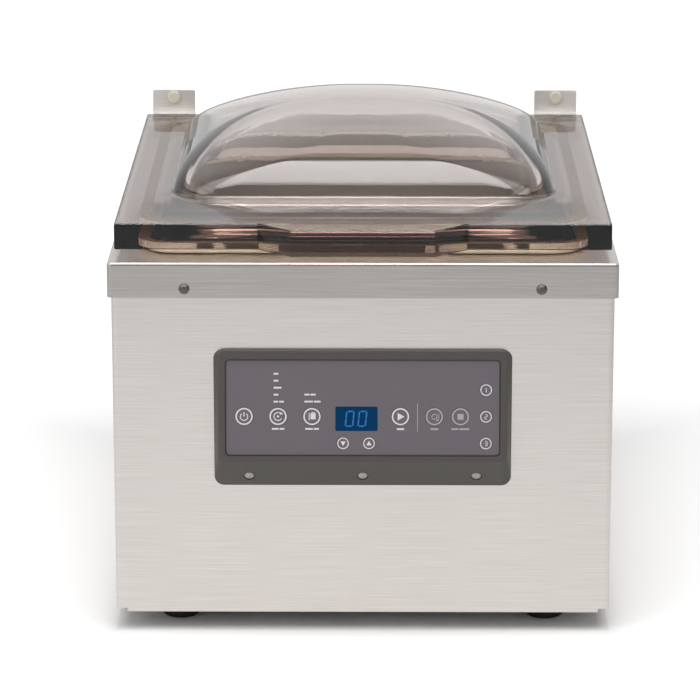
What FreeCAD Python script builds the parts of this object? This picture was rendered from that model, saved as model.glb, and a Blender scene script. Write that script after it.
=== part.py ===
"""Tabletop chamber vacuum sealer: a stainless steel cabinet with a deep chamber under a domed, tinted lid.

Millimetres. X is to the right, Y to the back, Z up. The origin is on the table, under the middle of the machine.
"""
import FreeCAD, Part
import math
import os

import Sketcher
from FreeCAD import Placement, Rotation, Vector

doc = FreeCAD.newDocument("vacuum_sealer")

# Driving dimensions
DIMENSIONS = {
    "body_width": 356, "housing_base": 14, "wall_sheet": 1.5, "wall_bend": 4, "wall_flange": 14,
    "deck_top": 274.5, "deck_width": 361, "deck_depth": 441, "deck_sheet": 2, "deck_overhang": 3,
    "deck_bend": 2.5, "skirt_height": 25.5, "fit_gap": 0.5,
    "lid_width": 351, "lid_depth": 384, "lid_thick": 19, "lid_gap": 7, "lid_setback": 10,
    "tab_reach": 21.5, "tab_root": 149, "tab_tip": 101,
    "dome_width": 278, "dome_depth": 268, "dome_front": 80, "dome_rise": 52, "dome_wall": 11, "dome_crown": 9,
    "dome_corner": 30, "mouth_round": 14,
    "chamber_width": 296, "chamber_depth": 332, "chamber_front": 27, "chamber_drop": 124.5,
    "chamber_corner": 16, "chamber_radius": 7, "tub_sheet": 2, "tub_flange": 10,
    "gasket_width": 320, "gasket_depth": 354, "gasket_band": 8, "gasket_corner": 28, "gasket_groove": 2.5,
    "gasket_rest": 0.3,
    "console_width": 212, "console_height": 101, "console_bottom": 110, "console_chin": 22, "console_proud": 14,
    "console_top_proud": 3, "console_corner": 7, "face_width": 205, "face_corner": 5, "face_recess": 1.2,
    "overlay_width": 195, "overlay_height": 69, "overlay_drop": 1.5, "overlay_thick": 1,
    "window_width": 188, "window_height": 64,
    "key_radius": 6.5, "small_key_radius": 4.5, "key_gap": 0.3, "key_proud": 0.2, "key_row": -7.8,
    "display_width": 30, "display_height": 17.6, "display_across": -4.4, "display_up": -9.4,
    "foot_radius": 15, "foot_across": 133, "foot_along": 173.5, "foot_screw_radius": 2.5,
    "bar_length": 284, "bar_width": 14, "bar_height": 24, "bar_setback": 44, "bar_gap": 6.3, "tape_thick": 0.4,
    "pad_length": 288, "pad_channel_width": 16, "pad_channel_height": 9, "pad_width": 12, "pad_height": 4.5,
    "pad_proud": 1.5,
    "rod_radius": 4, "rod_across": 110, "rod_clearance": 0.06, "cylinder_radius": 16, "cylinder_height": 52,
    "bracket_across": 154.5, "bracket_width": 34, "bracket_step": 12, "bracket_sheet": 3, "bracket_rise": 17,
    "bumper_radius": 5, "bumper_rise": 11.5, "bumper_head": 2.5, "bumper_tail": 5,
    "hinge_back": 14, "hinge_height": 11, "pin_radius": 3, "pin_clearance": 0.05, "knuckle_radius": 7,
    "knuckle_width": 15, "hinge_sheet": 3, "hinge_cheek_gap": 1, "hinge_plate_front": 2, "hinge_plate_depth": 43,
    "stop_height": 15, "stop_depth": 12,
    "spring_radius": 5.2, "spring_wire": 1.2, "spring_pitch": 2.9, "spring_turns": 4, "spring_leg": 11,
}

sheet = doc.addObject("Spreadsheet::Sheet", "dims")
for row, (alias, number) in enumerate(DIMENSIONS.items(), start=1):
    sheet.set(f"A{row}", alias)
    sheet.set(f"B{row}", str(number))
    sheet.setAlias(f"B{row}", alias)
doc.recompute()


class Size:
    """A length worked out from the sheet: its value now, and the expression that keeps it current."""

    def __init__(self, value, text):
        self.value = value
        self.text = text

    def __add__(self, other):
        other = size(other)
        return Size(self.value + other.value, f"({self.text} + {other.text})")

    def __neg__(self):
        return Size(-self.value, f"(-1 * {self.text})")

    def __sub__(self, other):
        other = size(other)
        return Size(self.value - other.value, f"({self.text} - {other.text})")

    def __rsub__(self, other):
        return size(other) - self

    def __mul__(self, factor):
        factor = size(factor)
        return Size(self.value * factor.value, f"({self.text} * {factor.text})")

    def __truediv__(self, factor):
        factor = size(factor)
        return Size(self.value / factor.value, f"({self.text} / {factor.text})")


def size(number):
    return number if isinstance(number, Size) else Size(float(number), f"({float(number)!r})")


def dim(alias):
    return Size(float(sheet.get(alias)), f"dims.{alias}")


# Sketches, held at their places by the sheet
def new_body(label):
    body = doc.addObject("PartDesign::Body", label)
    body.Label = label
    return body


def place(body, x=0, y=0, z=0, tilt=None):
    """Stand a body at a point; tilt turns it about X."""
    turn = Rotation(Vector(1, 0, 0), tilt) if tilt else Rotation()
    body.Placement = Placement(Vector(size(x).value, size(y).value, size(z).value), turn)
    for axis, distance in (("x", x), ("y", y), ("z", z)):
        body.setExpression(f"Placement.Base.{axis}", size(distance).text)


def new_sketch(body, role, shift=(0, 0, 0), tilt=None):
    """A sketch on one of the body's planes, shifted along its own axes; tilt turns it about its first axis."""
    plane = next(f for f in body.Origin.OriginFeatures if f.Role == role)
    sketch = body.newObject("Sketcher::SketchObject", f"{body.Name}_outline")
    sketch.AttachmentSupport = [(plane, "")]
    sketch.MapMode = "FlatFace"
    turn = Rotation(Vector(1, 0, 0), tilt) if tilt else Rotation()
    sketch.AttachmentOffset = Placement(Vector(*(size(s).value for s in shift)), turn)
    for axis, distance in zip("xyz", shift):
        sketch.setExpression(f"AttachmentOffset.Base.{axis}", size(distance).text)
    return sketch


def hold(sketch, kind, geometry, point, length):
    length = size(length)
    if abs(length.value) < 1e-9:
        axis = -2 if kind == "DistanceX" else -1
        sketch.addConstraint(Sketcher.Constraint("PointOnObject", geometry, point, axis))
        return
    index = sketch.addConstraint(Sketcher.Constraint(kind, -1, 1, geometry, point, length.value))
    sketch.setExpression(f"Constraints[{index}]", length.text)


def hold_radius(sketch, geometry, radius):
    index = sketch.addConstraint(Sketcher.Constraint("Radius", geometry, size(radius).value))
    sketch.setExpression(f"Constraints[{index}]", size(radius).text)


def polygon(sketch, corners):
    """A closed outline of straight sides."""
    corners = [(size(x), size(y)) for x, y in corners]
    places = [Vector(x.value, y.value, 0) for x, y in corners]
    sides = [
        sketch.addGeometry(Part.LineSegment(start, end), False)
        for start, end in zip(places, places[1:] + places[:1])
    ]
    for side, after in zip(sides, sides[1:] + sides[:1]):
        sketch.addConstraint(Sketcher.Constraint("Coincident", side, 2, after, 1))
    for side, (x, y) in zip(sides, corners):
        hold(sketch, "DistanceX", side, 1, x)
        hold(sketch, "DistanceY", side, 1, y)


def rounded(sketch, width, height, radius, x=0, y=0):
    """A rectangle with round corners, centred on a point."""
    width, height, radius, x, y = (size(s) for s in (width, height, radius, x, y))
    left, right = x - width / 2, x + width / 2
    low, high = y - height / 2, y + height / 2
    a, b, c, d, r = left.value, low.value, right.value, high.value, radius.value
    runs = [((a + r, b), (c - r, b)), ((c, b + r), (c, d - r)), ((c - r, d), (a + r, d)), ((a, d - r), (a, b + r))]
    sides = [sketch.addGeometry(Part.LineSegment(Vector(*p, 0), Vector(*q, 0)), False) for p, q in runs]
    centres = [
        (right - radius, low + radius), (right - radius, high - radius),
        (left + radius, high - radius), (left + radius, low + radius),
    ]
    for turn, (centre_x, centre_y) in enumerate(centres):
        start = (turn - 1) * math.pi / 2
        circle_here = Part.Circle(Vector(centre_x.value, centre_y.value, 0), Vector(0, 0, 1), r)
        arc = sketch.addGeometry(Part.ArcOfCircle(circle_here, start, start + math.pi / 2), False)
        sketch.addConstraint(Sketcher.Constraint("Tangent", sides[turn], 2, arc, 1))
        sketch.addConstraint(Sketcher.Constraint("Tangent", arc, 2, sides[(turn + 1) % 4], 1))
        hold(sketch, "DistanceX", arc, 3, centre_x)
        hold(sketch, "DistanceY", arc, 3, centre_y)
        hold_radius(sketch, arc, radius)


def circle(sketch, radius, x=0, y=0):
    centre = Vector(size(x).value, size(y).value, 0)
    ring = sketch.addGeometry(Part.Circle(centre, Vector(0, 0, 1), size(radius).value), False)
    hold_radius(sketch, ring, radius)
    hold(sketch, "DistanceX", ring, 3, x)
    hold(sketch, "DistanceY", ring, 3, y)


# Features
def feature(body, kind, sketch, **settings):
    made = body.newObject(f"PartDesign::{kind}", f"{body.Name}_{kind}")
    made.Profile = sketch
    for name, setting in settings.items():
        setattr(made, name, setting)
    return made


def pad(body, sketch, length, **settings):
    made = feature(body, "Pad", sketch, **settings)
    made.setExpression("Length", size(length).text)
    doc.recompute()
    return made


def pocket(body, sketch, depth, **settings):
    """Cut a sketch into the body, which has to lose volume by it."""
    before = body.Shape.Volume
    made = feature(body, "Pocket", sketch, **settings)
    made.setExpression("Length", size(depth).text)
    doc.recompute()
    if not body.Shape.Volume < before - 1e-6:
        raise ValueError(f"a cut in {body.Label} removes nothing")
    return made


def turned(body, points, axis="Z", x=0, y=0, z=0, kind="Revolution"):
    """Turn an outline of (radius, distance along the axis) about an axis through a point."""
    role, shift, spin = {
        "Z": ("XZ_Plane", (x, z, -size(y)), "V_Axis"),
        "Y": ("XY_Plane", (x, y, z), "V_Axis"),
        "X": ("XY_Plane", (x, y, z), "H_Axis"),
    }[axis]
    sketch = new_sketch(body, role, shift)
    polygon(sketch, [(along, radius) for radius, along in points] if axis == "X" else points)
    made = feature(body, kind, sketch, ReferenceAxis=(sketch, [spin]), Angle=360)
    doc.recompute()
    return made


def bevel(body, kind, reach, test):
    """Round or chamfer the edges of a body that a test picks by their middle point and direction."""
    edges = []
    for number, edge in enumerate(body.Tip.Shape.Edges, start=1):
        middle = edge.valueAt((edge.FirstParameter + edge.LastParameter) / 2)
        along = edge.tangentAt((edge.FirstParameter + edge.LastParameter) / 2)
        if test(middle, along):
            edges.append(f"Edge{number}")
    if not edges:
        raise ValueError(f"no edge of {body.Label} to soften")
    base = body.Tip
    made = body.newObject(f"PartDesign::{kind}", f"{body.Name}_{kind}")
    made.Base = (base, edges)
    made.setExpression("Radius" if kind == "Fillet" else "Size", size(reach).text)
    doc.recompute()
    return made


def row(body, original, sketch, axis, length, count):
    """Repeat a feature in a straight row along one axis of its sketch."""
    made = body.newObject("PartDesign::LinearPattern", f"{body.Name}_row")
    made.Originals = [original]
    made.Direction = (sketch, [axis])
    made.setExpression("Length", size(length).text)
    made.Occurrences = count
    body.Tip = made
    doc.recompute()
    return made


def ring(body, original, sketch, count):
    """Repeat a feature round the axis of its sketch."""
    made = body.newObject("PartDesign::PolarPattern", f"{body.Name}_ring")
    made.Originals = [original]
    made.Axis = (sketch, ["N_Axis"])
    made.Angle = 360
    made.Occurrences = count
    body.Tip = made
    doc.recompute()
    return made


def near(value, target, slack=0.05):
    return abs(value - size(target).value) < slack


# Places worked out from the driving dimensions
tab_front = -(dim("deck_depth") + dim("tab_reach") - dim("lid_setback")) / 2
deck_front = tab_front + dim("tab_reach") - dim("lid_setback")
deck_back = deck_front + dim("deck_depth")
deck_middle = (deck_front + deck_back) / 2
lid_front = deck_front + dim("lid_setback")
lid_back = lid_front + dim("lid_depth")
lid_bottom = dim("deck_top") + dim("lid_gap")
lid_top = lid_bottom + dim("lid_thick")
housing_front = deck_front + dim("deck_overhang")
rear_face = deck_back - dim("deck_sheet") - dim("fit_gap")
housing_back = rear_face - dim("wall_sheet")
housing_top = dim("deck_top") - dim("deck_sheet") - 2
half_body = dim("body_width") / 2
chamber_middle = lid_front + dim("chamber_front") + dim("chamber_depth") / 2
chamber_floor = dim("deck_top") - dim("chamber_drop")
floor_plate = dim("housing_base") + dim("wall_sheet")
floor_top = floor_plate + dim("deck_sheet")
hinge_y = lid_back + dim("hinge_back")
hinge_z = dim("deck_top") + dim("hinge_height")


def make_housing_wrap():
    """Front and both sides in one bent sheet, with flanges to the back and underneath."""
    sheet_t, flange, half = dim("wall_sheet"), dim("wall_flange"), half_body
    body = new_body("housing_wrap")
    outline = new_sketch(body, "XY_Plane", (0, 0, dim("housing_base")))
    lip = half - flange
    polygon(outline, [
        (-lip, housing_back), (-half, housing_back), (-half, housing_front), (half, housing_front),
        (half, housing_back), (lip, housing_back), (lip, housing_back - sheet_t),
        (half - sheet_t, housing_back - sheet_t), (half - sheet_t, housing_front + sheet_t),
        (sheet_t - half, housing_front + sheet_t), (sheet_t - half, housing_back - sheet_t),
        (-lip, housing_back - sheet_t),
    ])
    pad(body, outline, housing_top - dim("housing_base"))
    bevel(body, "Fillet", dim("wall_bend"),
          lambda at, way: abs(way.z) > 0.9 and near(abs(at.x), half) and near(at.y, housing_front))
    bevel(body, "Fillet", dim("wall_bend") - sheet_t,
          lambda at, way: abs(way.z) > 0.9 and near(abs(at.x), half - sheet_t)
          and near(at.y, housing_front + sheet_t))
    under = new_sketch(body, "XY_Plane", (0, 0, dim("housing_base")))
    polygon(under, [
        (sheet_t - half, housing_back - sheet_t), (sheet_t - half, housing_front + sheet_t),
        (half - sheet_t, housing_front + sheet_t), (half - sheet_t, housing_back - sheet_t),
        (lip, housing_back - sheet_t), (lip, housing_front + flange), (-lip, housing_front + flange),
        (-lip, housing_back - sheet_t),
    ])
    pad(body, under, sheet_t)
    relief = new_sketch(body, "XY_Plane", (0, 0, dim("housing_base")))
    for side in (-1, 1):
        rounded(relief, 16, 16, 1, half * side, housing_front)
    pocket(body, relief, 2.6, Reversed=True)
    opening = new_sketch(body, "XZ_Plane", (0, 0, -housing_front))
    rounded(opening, dim("window_width") + 2, dim("window_height") + 6, 4, 0, face_middle_z)
    pocket(body, opening, 4)
    return body


def make_rear_panel():
    """Flat back sheet, screwed to the wrap's flanges, with a fan grille, a vent field and the inlet's cut-out."""
    body = new_body("rear_panel")
    outline = new_sketch(body, "XZ_Plane", (0, 0, -rear_face))
    low, high = dim("housing_base") + 1, housing_top
    rounded(outline, dim("body_width") - 4, high - low, 3, 0, (low + high) / 2)
    pad(body, outline, dim("wall_sheet"))
    slots = new_sketch(body, "XZ_Plane", (0, 0, -rear_face))
    rounded(slots, 4.4, fan_size * 0.84, 2.19, fan_x - fan_size * 0.4, fan_z)
    grille = pocket(body, slots, 4, Reversed=True)
    row(body, grille, slots, "H_Axis", fan_size * 0.8, 9)
    vents = new_sketch(body, "XZ_Plane", (0, 0, -rear_face))
    rounded(vents, 4.4, 46, 2.19, -half_body + 60, 205)
    field = pocket(body, vents, 4, Reversed=True)
    row(body, field, vents, "H_Axis", dim("body_width") - 120, 21)
    inlet = new_sketch(body, "XZ_Plane", (0, 0, -rear_face))
    rounded(inlet, inlet_width - 4, inlet_height - 4, 2, inlet_x, inlet_z)
    pocket(body, inlet, 4, Reversed=True)
    return body


def make_base_plate():
    """Floor of the cabinet, lying on the wrap's flanges, with air slots and holes for the feet."""
    body = new_body("base_plate")
    outline = new_sketch(body, "XY_Plane", (0, 0, floor_plate))
    depth = housing_back - housing_front - dim("wall_sheet") * 2 - 2
    rounded(outline, dim("body_width") - 5, depth, 5, 0, (housing_front + housing_back) / 2)
    pad(body, outline, dim("deck_sheet"))
    holes = new_sketch(body, "XY_Plane", (0, 0, floor_plate))
    for side in (-1, 1):
        for end in (-1, 1):
            circle(holes, dim("foot_screw_radius") + 0.25, dim("foot_across") * side, dim("foot_along") * end)
    pocket(body, holes, 5, Reversed=True)
    slots = new_sketch(body, "XY_Plane", (0, 0, floor_plate))
    rounded(slots, 70, 5, 2.49, -70, -120)
    first = pocket(body, slots, 5, Reversed=True)
    row(body, first, slots, "V_Axis", 60, 6)
    return body


def make_feet():
    """Four turned rubber feet, each with a well for its screw."""
    foot, screw = dim("foot_radius"), dim("foot_screw_radius") + 0.25
    for end, along in (("front", -1), ("rear", 1)):
        for side, across in (("left", -1), ("right", 1)):
            body = new_body(f"foot_{end}_{side}")
            turned(body, [
                (screw, floor_plate), (foot, floor_plate), (foot, floor_plate - 4), (foot - 1.4, 1.2),
                (foot - 2.6, 0), (foot / 2, 0), (foot / 2, 5), (screw, 5),
            ], "Z", dim("foot_across") * across, dim("foot_along") * along)


def make_foot_screws():
    body = new_body("foot_screws")
    shank, head = dim("foot_screw_radius"), dim("foot_screw_radius") * 1.9
    for along in (-1, 1):
        for across in (-1, 1):
            turned(body, [
                (0, 2.2), (head - 0.8, 2.2), (head, 3.2), (head, 5), (shank, 5), (shank, floor_top + 4),
                (0, floor_top + 4),
            ], "Z", dim("foot_across") * across, dim("foot_along") * along)


def make_top_deck():
    """Pressed deck: a flat top with a turned-down skirt, open over the chamber."""
    body = new_body("top_deck")
    sheet_t, bend = dim("deck_sheet"), dim("deck_bend")
    outline = new_sketch(body, "XY_Plane", (0, 0, dim("deck_top")))
    rounded(outline, dim("deck_width"), dim("deck_depth"), bend + 1, 0, deck_middle)
    pad(body, outline, dim("skirt_height"), Reversed=True)
    bevel(body, "Fillet", bend, lambda at, way: near(at.z, dim("deck_top")))
    inside = new_sketch(body, "XY_Plane", (0, 0, dim("deck_top") - dim("skirt_height")))
    rounded(inside, dim("deck_width") - sheet_t * 2, dim("deck_depth") - sheet_t * 2, bend - 1, 0, deck_middle)
    pocket(body, inside, dim("skirt_height") - sheet_t, Reversed=True)
    mouth = new_sketch(body, "XY_Plane", (0, 0, dim("deck_top")))
    rounded(mouth, dim("chamber_width"), dim("chamber_depth"), dim("chamber_corner"), 0, chamber_middle)
    pocket(body, mouth, sheet_t * 2)
    holes = new_sketch(body, "XZ_Plane", (0, 0, -deck_front))
    for side in (-1, 1):
        circle(holes, 2.2, deck_screw_x * side, deck_screw_z)
    pocket(body, holes, sheet_t * 2)
    return body


def make_deck_screws():
    """Two pan-head screws that hold the skirt to the cabinet's front."""
    body = new_body("deck_screws")
    for side in (-1, 1):
        turned(body, [
            (0, -2), (2.2, -1.9), (3.6, -0.9), (3.9, 0), (2, 0), (2, dim("deck_overhang")), (0, dim("deck_overhang")),
        ], "Y", deck_screw_x * side, deck_front, deck_screw_z)


def make_chamber_tub():
    """Deep-drawn tub, hung by its flange under the deck, with round corners and a round-edged floor."""
    body = new_body("chamber_tub")
    sheet_t, corner = dim("tub_sheet"), dim("chamber_corner")
    width, depth = dim("chamber_width"), dim("chamber_depth")
    rim = dim("deck_top") - dim("deck_sheet")
    bottom = chamber_floor - sheet_t
    outside = new_sketch(body, "XY_Plane", (0, 0, bottom))
    rounded(outside, width + sheet_t * 2, depth + sheet_t * 2, corner + sheet_t, 0, chamber_middle)
    pad(body, outside, rim - bottom)
    flange = new_sketch(body, "XY_Plane", (0, 0, rim))
    reach = (dim("tub_flange") + sheet_t) * 2
    rounded(flange, width + reach, depth + reach, corner + reach / 2, 0, chamber_middle)
    pad(body, flange, sheet_t, Reversed=True)
    inside = new_sketch(body, "XY_Plane", (0, 0, rim))
    rounded(inside, width, depth, corner, 0, chamber_middle)
    pocket(body, inside, rim - chamber_floor)
    bevel(body, "Fillet", dim("chamber_radius"),
          lambda at, way: near(at.z, chamber_floor) and abs(way.z) < 0.1)
    bevel(body, "Fillet", dim("chamber_radius") + sheet_t, lambda at, way: near(at.z, bottom))
    holes = new_sketch(body, "XY_Plane", (0, 0, chamber_floor))
    for side in (-1, 1):
        circle(holes, neck_radius + 0.1, dim("rod_across") * side, bar_y)
    circle(holes, port_radius, 0, port_y)
    pocket(body, holes, sheet_t * 3)
    return body


def make_port_grille():
    """Perforated cap over the port that the air leaves by."""
    body = new_body("chamber_port_grille")
    turned(body, [
        (0, 0), (port_radius + 7, 0), (port_radius + 7, 1.2), (port_radius + 5.5, 2.6), (0, 3.2),
    ], "Z", 0, port_y, chamber_floor)
    holes = new_sketch(body, "XY_Plane", (0, port_y, chamber_floor))
    circle(holes, 1.5, port_radius * 0.62)
    cut = pocket(body, holes, 6, Reversed=True)
    ring(body, cut, holes, 8)


def dome_sections(body, inset, rise, base):
    """Outlines of the blown dome at rising levels: an elliptical arch over a base with round corners."""
    sketches = []
    levels = (0, 0.35, 0.6, 0.8, 0.92, 1)
    crown = 0.985
    for level in levels:
        spread = math.sqrt(1 - (crown * level) ** 2)
        width, depth = (dim("dome_width") - inset * 2) * spread, (dim("dome_depth") - inset * 2) * spread
        corner = dim("dome_corner") - inset * 0.5
        full = depth / 2 * 0.97
        blend = level ** 1.2
        radius = corner * (1 - blend) + full * blend
        sink = 0.5 if level == 0 else 0
        sketch = new_sketch(body, "XY_Plane", (0, dome_middle, base + rise * level - sink))
        rounded(sketch, width, depth, radius)
        sketches.append(sketch)
    return sketches


def make_lid():
    """Thick clear plate with a lift tab at the front, blown up into a dome over the chamber."""
    body = new_body("lid")
    half, root, tip = dim("lid_width") / 2, dim("tab_root") / 2, dim("tab_tip") / 2
    outline = new_sketch(body, "XY_Plane", (0, 0, lid_bottom))
    polygon(outline, [
        (-half, lid_back), (-half, lid_front), (-root, lid_front), (-tip, tab_front), (tip, tab_front),
        (root, lid_front), (half, lid_front), (half, lid_back),
    ])
    pad(body, outline, dim("lid_thick"))
    bevel(body, "Chamfer", 0.8, lambda at, way: near(at.z, lid_top))
    bevel(body, "Chamfer", 0.8, lambda at, way: near(at.z, lid_bottom))
    outer = dome_sections(body, size(0), dim("dome_rise"), lid_top)
    feature(body, "AdditiveLoft", outer[0], Sections=outer[1:])
    doc.recompute()
    mouth = new_sketch(body, "XY_Plane", (0, dome_middle, lid_bottom))
    wall = dim("dome_wall")
    rounded(mouth, dim("dome_width") - wall * 2, dim("dome_depth") - wall * 2, dim("dome_corner") - wall / 2)
    pocket(body, mouth, dim("lid_thick"), Reversed=True)
    bevel(body, "Fillet", dim("mouth_round"),
          lambda at, way: near(at.z, lid_bottom) and abs(at.x) < half.value - wall.value
          and at.y > (lid_front + wall * 3).value and at.y < (lid_back - wall).value)
    inner = dome_sections(body, wall, dim("dome_rise") - dim("dome_crown"), lid_top)
    feature(body, "SubtractiveLoft", inner[0], Sections=inner[1:])
    doc.recompute()
    groove = new_sketch(body, "XY_Plane", (0, 0, lid_bottom))
    gasket_outline(groove)
    pocket(body, groove, dim("gasket_groove"), Reversed=True)
    return body


def gasket_outline(sketch):
    band, corner = dim("gasket_band"), dim("gasket_corner")
    rounded(sketch, dim("gasket_width"), dim("gasket_depth"), corner, 0, gasket_middle)
    rounded(sketch, dim("gasket_width") - band * 2, dim("gasket_depth") - band * 2, corner - band, 0, gasket_middle)


def make_lid_gasket():
    """Silicone cord in the lid's groove, rounded where it meets the deck."""
    body = new_body("lid_gasket")
    low = dim("deck_top") + dim("gasket_rest")
    outline = new_sketch(body, "XY_Plane", (0, 0, low))
    gasket_outline(outline)
    pad(body, outline, lid_bottom + dim("gasket_groove") - low)
    bevel(body, "Fillet", 2.4, lambda at, way: near(at.z, low))


def make_seal_pad():
    """Backing strip in the lid that the seal bar presses on: silicone in an aluminium channel."""
    height, width = dim("pad_channel_height"), dim("pad_channel_width")
    low = lid_bottom - height
    groove = dim("pad_height") - dim("pad_proud")
    half, slot = width / 2, dim("pad_width") / 2
    channel = new_body("seal_pad_channel")
    outline = new_sketch(channel, "YZ_Plane", (bar_y, low, 0))
    polygon(outline, [
        (-half, 0), (-slot, 0), (-slot, groove), (slot, groove), (slot, 0), (half, 0), (half, height), (-half, height),
    ])
    pad(channel, outline, dim("pad_length"), Midplane=True)
    strip = new_body("seal_pad_strip")
    outline = new_sketch(strip, "YZ_Plane", (bar_y, low - dim("pad_proud"), 0))
    rounded(outline, dim("pad_width"), dim("pad_height"), 0.8, 0, dim("pad_height") / 2)
    pad(strip, outline, dim("pad_length") - 2, Midplane=True)


def make_seal_bar():
    """Heated bar on two lift rods: block, a pair of resistance wires and the slip tape over them."""
    half, height, tape = dim("bar_width") / 2, dim("bar_height"), dim("tape_thick")
    wire = 0.4
    block = new_body("seal_bar_block")
    outline = new_sketch(block, "YZ_Plane", (bar_y, bar_top - tape - wire, 0))
    polygon(outline, [
        (-half, -height), (half, -height), (half, -height + 6), (half - 2, -height + 8), (half - 2, -1.5),
        (half - 3.5, 0), (3.5 - half, 0), (2 - half, -1.5), (2 - half, -height + 8), (-half, -height + 6),
    ])
    pad(block, outline, dim("bar_length"), Midplane=True)
    wires = new_body("seal_wires")
    outline = new_sketch(wires, "YZ_Plane", (bar_y, bar_top - tape - wire, 0))
    for side in (-1, 1):
        at = size(side * 1.8)
        polygon(outline, [(at - 1, 0), (at + 1, 0), (at + 1, wire), (at - 1, wire)])
    pad(wires, outline, dim("bar_length") - 4, Midplane=True)
    cover = new_body("slip_tape")
    outline = new_sketch(cover, "YZ_Plane", (bar_y, bar_top, 0))
    drop, edge = tape + wire, half - 3.5
    polygon(outline, [
        (-half + 2 - tape, -drop - 9), (-half + 2, -drop - 9), (-half + 2, -drop - 1.5), (-edge, -drop),
        (-edge, -tape), (edge, -tape), (edge, -drop), (half - 2, -drop - 1.5), (half - 2, -drop - 9),
        (half - 2 + tape, -drop - 9), (half - 2 + tape, -drop - 1.2), (edge + 0.2, 0), (-edge - 0.2, 0),
        (-half + 2 - tape, -drop - 1.2),
    ])
    pad(cover, outline, dim("bar_length") - 16, Midplane=True)


def make_lift_rods():
    """Two plated rods under the seal bar."""
    body = new_body("lift_rods")
    radius = dim("rod_radius")
    foot = chamber_floor - dim("tub_sheet") - 30
    head = bar_top - dim("tape_thick") - 0.4 - dim("bar_height")
    for side in (-1, 1):
        turned(body, [
            (0, foot), (radius - 0.5, foot), (radius, foot + 0.5), (radius, head - 4), (radius + 3, head - 4),
            (radius + 3, head), (0, head),
        ], "Z", dim("rod_across") * side, bar_y)


def make_lift_cylinders():
    """Air cylinders under the tub, with a threaded neck and nut that clamp the tub's floor."""
    body = new_body("lift_cylinders")
    bore = dim("rod_radius") + dim("rod_clearance")
    radius, neck = dim("cylinder_radius"), neck_radius
    under = chamber_floor - dim("tub_sheet")
    low = under - dim("cylinder_height")
    for side in (-1, 1):
        turned(body, [
            (0, low), (radius, low), (radius, low + 3), (radius - 1.5, low + 4.5), (radius - 1.5, under - 7),
            (radius, under - 5.5), (radius, under), (neck, under), (neck, chamber_floor), (neck + 2.5, chamber_floor),
            (neck + 2.5, chamber_floor + 5), (neck, chamber_floor + 5), (neck, chamber_floor + 8),
            (bore, chamber_floor + 8), (bore, low + 10), (0, low + 10),
        ], "Z", dim("rod_across") * side, bar_y)


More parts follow.
